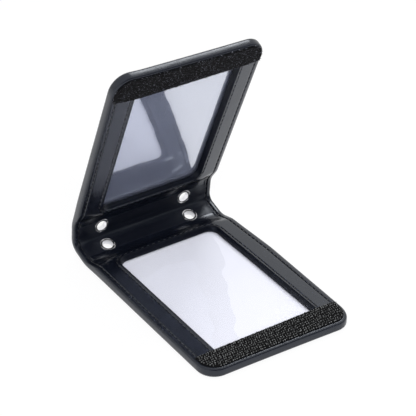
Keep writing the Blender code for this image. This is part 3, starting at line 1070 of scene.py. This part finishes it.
def bowOut(*pieces):
    # the lower leaf's long right edge bows out a little
    for piece in pieces:
        for vertex in piece.data.vertices:
            share = (foldPath["hingeInset"] - vertex.co.y - foldPath["frontEdge"]) / foldPath["leafLength"]
            side = max(vertex.co.x / (outerSkin["width"] / 2), 0.0) ** unevenness["bowPower"]
            vertex.co.x += unevenness["bow"] * side * math.sin(math.pi * min(max(share, 0.0), 1.0)) ** 2


def curlBack(*pieces):
    # the upper leaf's left edge curls back a little
    turn = 2 * endTurn + foldTurn
    start = unevenness["curlFrom"]
    for piece in pieces:
        for vertex in piece.data.vertices:
            side = max((-vertex.co.x - start) / (outerSkin["width"] / 2 - start), 0.0)
            rise = smooth((vertex.co.z - unevenness["curlLow"]) / unevenness["curlRun"])
            back = unevenness["curl"] * side ** unevenness["curlPower"] * rise
            vertex.co.y += back * math.sin(turn)
            vertex.co.z -= back * math.cos(turn)


bowOut(outerLower, innerLower, edgeStitchesLower, hookStrip)
curlBack(outerUpper, innerUpper, edgeStitchesUpper, windowStitchesUpper, loopStrip, padUpper)


def pathPoint(run):
    return (0.0,) + pathFrame(run)[:2]


# where an end bend starts and stops, and the fold's own arc
lowerStart, lowerStop = pathPoint(-armEnd - endArc), pathPoint(-armEnd)
foldStart, foldStop = pathPoint(-armStart), pathPoint(armStart)
upperStop, upperStart = pathPoint(armEnd + endArc), pathPoint(armEnd)
for piece, nodes, slotName in (
        (outerLower, ("cover_lower",), "outer_leather"), (innerLower, ("facing_lower",), "inner_leather"),
        (edgeStitchesLower, ("thread_edge_lower",), "thread")):
    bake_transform(piece)
    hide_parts(*nodes)
for piece, nodes, slotName in (
        (outerFold, ("cover_spine_lower", "cover_spine_upper"), "outer_leather"),
        (innerFold, ("lining_spine_lower", "lining_spine_upper"), "inner_leather"),
        (edgeStitchesFold, (), "thread")):
    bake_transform(piece)
    if nodes:
        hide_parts(*nodes)
for piece, nodes, slotName in (
        (outerUpper, ("cover_upper",), "outer_leather"), (innerUpper, ("facing_upper",), "inner_leather"),
        (edgeStitchesUpper, ("thread_edge_upper",), "thread")):
    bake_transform(piece)
    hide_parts(*nodes)
for piece, body, nodes, slotName in (
        (windowStitchesLower, "lower_leaf", "thread_window_lower", "thread"),
        (windowStitchesUpper, "upper_leaf", "thread_window_upper", "thread"),
        (hookStrip, "lower_leaf", "hook_strip", "hook"),
        (loopStrip, "upper_leaf", "loop_strip", "loop"),
        (padLower, "lower_leaf", "pad_lower", "padding"),
        (padUpper, "upper_leaf", "pad_upper", "padding"),
        (lowerFilm, "lower_leaf", "film_lower", "film"),
        (upperFilm, "upper_leaf", "film_upper", "film")):
    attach(piece, body)
    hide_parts(nodes)
clad(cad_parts["paper_insert"], paper)
clad(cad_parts["board_lower"], boardCard)
clad(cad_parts["board_upper"], boardCard)
print("badge holder: pieces tied to their bodies")

studio = {
    "floorColour": fromSrgb(250, 250, 252), "ownWhite": 0.88, "ownGloss": 0.15, "ambient": 0.46,
    "frontDim": 0.06, "dimReach": (-0.68, -0.32),
    "key": {"place": (-0.35, -0.65, 0.85), "size": 0.8, "power": 10.8, "seen": False},
    "fill": {"place": (0.48, 0.34, 0.85), "size": 0.28, "power": 2.0, "seen": True},
    "back": {"place": (0.1, 0.8, 0.8), "size": 0.9, "power": 1.5, "seen": False},
    "lampAim": Vector((0, 0.02, 0.03)),
}


def seenOnly(tree, glossy):
    # one for rays that only look: from the camera or a clear sheet, and a share of it from a gloss
    rays = node(tree, "LightPath")
    part = node(tree, "Math", operation="MULTIPLY")
    part.inputs[1].default_value = glossy
    first = node(tree, "Math", operation="MAXIMUM")
    second = node(tree, "Math", operation="MAXIMUM")
    connect(tree, (rays, "Is Glossy Ray", part, 0), (rays, "Is Camera Ray", first, 0), (part, 0, first, 1),
            (first, 0, second, 0), (rays, "Is Transmission Ray", second, 1))
    return second


def makeFloor():
    deselect()
    bpy.ops.mesh.primitive_plane_add(size=6, location=(0, 0, -0.00005))
    floor = bpy.context.object
    floor.name = "paleFloor"
    bpy.ops.object.transform_apply(location=True, rotation=True, scale=True)
    material = newMaterial("paleFloor")
    tree = material.node_tree
    ground = node(tree, "BsdfDiffuse", Color=studio["floorColour"])
    white = node(tree, "Emission", Strength=1.0)
    share = node(tree, "Math", operation="MULTIPLY")
    share.inputs[1].default_value = studio["ownWhite"]
    mixed = node(tree, "MixShader")
    connect(tree, (seenOnly(tree, studio["ownGloss"]), 0, share, 0), (share, 0, mixed, 0),
            (ground, "BSDF", mixed, 1), (white, "Emission", mixed, 2),
            (mixed, "Shader", node(tree, "OutputMaterial"), "Surface"))
    floor.data.materials.append(material)


def makeWorld():
    world = bpy.data.worlds.new("studio")
    bpy.context.scene.world = world
    world.use_nodes = True
    tree = world.node_tree
    tree.nodes.clear()
    soft = node(tree, "Background", Color=(1, 1, 1, 1), Strength=studio["ambient"])
    white = node(tree, "Background", Color=(1, 1, 1, 1))
    # the room in front is dim, as a gloss shows it
    coords = node(tree, "TexCoord")
    parts = node(tree, "SeparateXYZ")
    rays = node(tree, "LightPath")
    level = node(tree, "Mix", data_type="FLOAT")
    level.inputs[2].default_value = 1.0
    mixed = node(tree, "MixShader")
    mapped(tree, parts, "Y", level, 3, studio["dimReach"], (studio["frontDim"], 1.0),
           interpolation_type="SMOOTHSTEP")
    connect(tree, (coords, "Generated", parts, 0), (rays, "Is Glossy Ray", level, 0),
            (level, 0, white, "Strength"), (seenOnly(tree, 1.0), 0, mixed, 0), (soft, "Background", mixed, 1),
            (white, "Background", mixed, 2), (mixed, "Shader", node(tree, "OutputWorld"), "Surface"))


def aimed(name, data, place, direction):
    item = added(bpy.data.objects.new(name, data))
    item.location = place
    item.rotation_euler = direction.to_track_quat("-Z", "Y").to_euler()
    return item


def makeLamp(name, look):
    data = bpy.data.lights.new(name, "AREA")
    data.shape = "DISK"
    data.size = look["size"]
    data.energy = look["power"]
    lamp = aimed(name, data, look["place"], studio["lampAim"] - Vector(look["place"]))
    lamp.visible_glossy = look["seen"]


def makeCamera():
    look = {"lens": 143.6, "sensor": 36.0, "nearest": 0.01, "target": (0.01105, 0.02347, 0.030),
            "distance": 0.75215, "azimuth": 33.51, "elevation": 32.78}
    side, up = math.radians(look["azimuth"]), math.radians(look["elevation"])
    direction = Vector((math.sin(side) * math.cos(up), math.cos(side) * math.cos(up), -math.sin(up)))
    data = bpy.data.cameras.new("viewer")
    data.lens = look["lens"]
    data.sensor_width = look["sensor"]
    data.clip_start = look["nearest"]
    place = Vector(look["target"]) - direction * look["distance"]
    bpy.context.scene.camera = aimed("viewer", data, place, direction)


makeFloor()
makeWorld()
for name in ("key", "fill", "back"):
    makeLamp(name + "Lamp", studio[name])
makeCamera()
bpy.context.scene.view_settings.view_transform = "Standard"
deselect()
print("badge holder: floor, light and camera placed")
